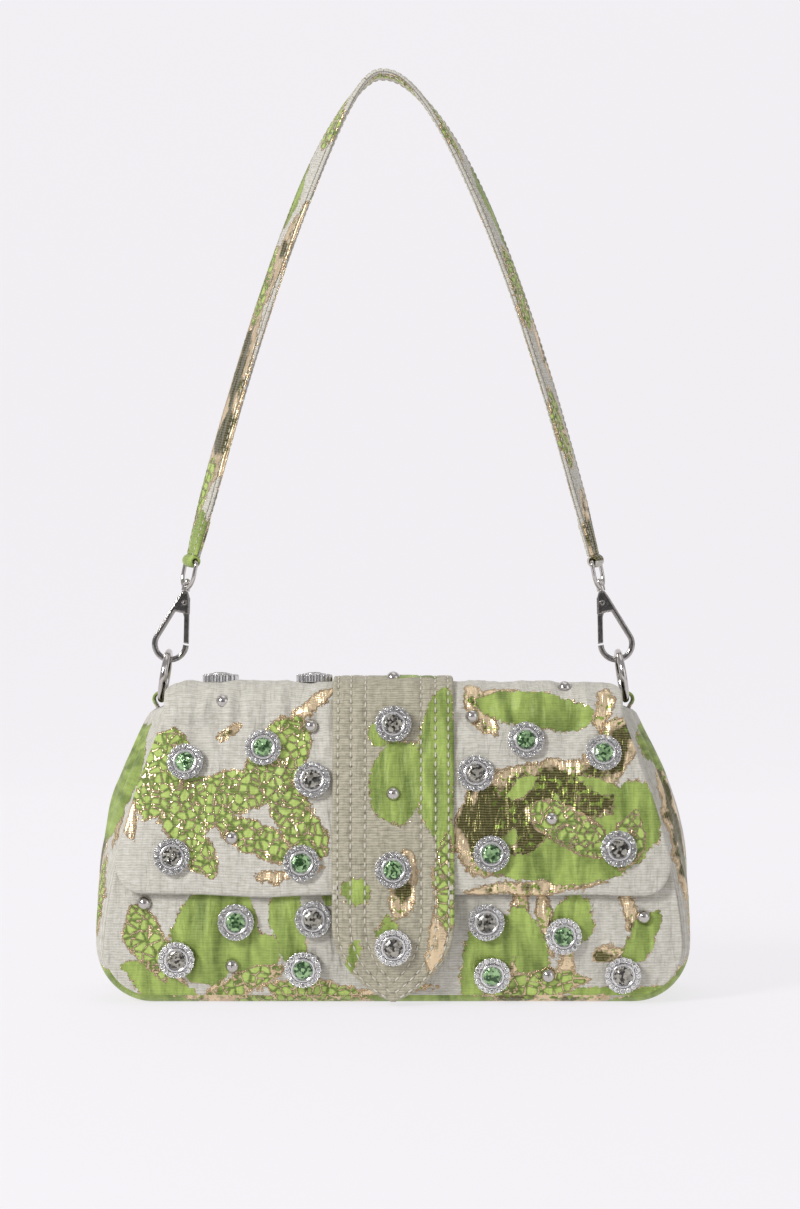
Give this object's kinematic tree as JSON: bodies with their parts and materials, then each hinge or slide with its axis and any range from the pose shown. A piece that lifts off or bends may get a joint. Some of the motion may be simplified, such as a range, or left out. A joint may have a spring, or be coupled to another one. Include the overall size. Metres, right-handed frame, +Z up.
{
  "type": "shoulder purse",
  "caption": "Small brocade shoulder purse with a padded fold-over flap, pointed closure band, rhinestone rosettes and a slim strap on swivel trigger hooks.",
  "frame": {"origin": "centre of the flat base, where the purse stands", "axes": "+Z up, +X to the viewer's right, the flap faces -Y"},
  "size_m": [0.257, 0.094, 0.405],
  "materials": {
    "brocade": "padded jacquard brocade, silver grey with green and gold",
    "band_brocade": "stitched jacquard brocade, warm grey",
    "lining_cloth": "plain woven lining",
    "board": "stiff base board",
    "rosette_metal": "bright nickel with bead rim",
    "stud_metal": "bright nickel",
    "hook_metal": "bright nickel plate",
    "snap_metal": "nickel plated steel",
    "clear_crystal": "foiled glass stone, smoky clear",
    "green_crystal": "foiled glass stone, pale green"
  },
  "bodies": {
    "bag": {"front_panel": "brocade", "back_panel": "brocade", "gusset": "brocade", "lining": "lining_cloth", "base_board": "board", "left_ring_tab": "brocade", "right_ring_tab": "brocade", "snap_socket": "snap_metal", "snap_washer": "snap_metal", "panel_settings": "rosette_metal", "panel_clear_stones": "clear_crystal", "panel_green_stones": "green_crystal", "panel_studs": "stud_metal"},
    "lid_top": {"flap_top": "brocade", "flap_top_lining": "lining_cloth", "band_top": "band_brocade", "top_settings": "rosette_metal", "top_stones": "clear_crystal", "top_studs": "stud_metal"},
    "lid_front": {"flap_front": "brocade", "flap_front_lining": "lining_cloth", "band_front": "band_brocade", "flap_settings": "rosette_metal", "flap_clear_stones": "clear_crystal", "flap_green_stones": "green_crystal", "flap_studs": "stud_metal", "band_settings": "rosette_metal", "band_clear_stone": "clear_crystal", "band_green_stone": "green_crystal", "band_stud": "stud_metal"},
    "tongue_end": {"tongue": "band_brocade", "tongue_setting": "rosette_metal", "tongue_stone": "clear_crystal", "snap_stud": "snap_metal"},
    "ring_left": {"left_ring": "hook_metal"},
    "ring_right": {"right_ring": "hook_metal"},
    "strap_arch": {"strap": "brocade", "left_swivel_eye": "hook_metal", "right_swivel_eye": "hook_metal"},
    "hook_left": {"left_hook": "hook_metal", "left_hook_rivet": "hook_metal"},
    "hook_right": {"right_hook": "hook_metal", "right_hook_rivet": "hook_metal"},
    "gate_left": {"left_gate": "hook_metal"},
    "gate_right": {"right_gate": "hook_metal"}
  },
  "joints": [
    {"name": "flap_lift", "type": "hinge", "parent": "bag", "child": "lid_top", "pos_m": [0, 0.02465, 0.1283], "axis": [-1, 0, 0], "range_deg": [0, 18]},
    {"name": "flap_fold", "type": "hinge", "parent": "lid_top", "child": "lid_front", "pos_m": [0, -0.02577, 0.13433], "axis": [-1, 0, 0], "range_deg": [0, 135]},
    {"name": "tongue_lift", "type": "hinge", "parent": "lid_front", "child": "tongue_end", "pos_m": [0, -0.04691, 0.047], "axis": [-1, 0, 0], "range_deg": [0, 60]},
    {"name": "ring_left_tilt", "type": "hinge", "parent": "bag", "child": "ring_left", "pos_m": [-0.10204, 0, 0.12863], "axis": [0, 1, 0], "range_deg": [0, 4]},
    {"name": "ring_right_tilt", "type": "hinge", "parent": "bag", "child": "ring_right", "pos_m": [0.10204, 0, 0.12863], "axis": [0, -1, 0], "range_deg": [0, 4]},
    {"name": "strap_swing", "type": "hinge", "parent": "bag", "child": "strap_arch", "pos_m": [0, 0, 0.139], "axis": [-1, 0, 0], "range_deg": [-75, 75]},
    {"name": "hook_left_swivel", "type": "hinge", "parent": "strap_arch", "child": "hook_left", "pos_m": [-0.09073, 0, 0.18021], "axis": [0.1908, 0, 0.9816], "range_deg": [-12, 12]},
    {"name": "gate_left_press", "type": "hinge", "parent": "hook_left", "child": "gate_left", "pos_m": [-0.09181, 0, 0.17094], "axis": [0, 1, 0], "range_deg": [0, 25], "stiffness_Nm_per_rad": 0.01, "springref_deg": -17.19},
    {"name": "hook_right_swivel", "type": "hinge", "parent": "strap_arch", "child": "hook_right", "pos_m": [0.09073, 0, 0.18021], "axis": [0.1908, 0, -0.9816], "range_deg": [-12, 12]},
    {"name": "gate_right_press", "type": "hinge", "parent": "hook_right", "child": "gate_right", "pos_m": [0.09181, 0, 0.17094], "axis": [0, -1, 0], "range_deg": [0, 25], "stiffness_Nm_per_rad": 0.01, "springref_deg": -17.19}
  ]
}
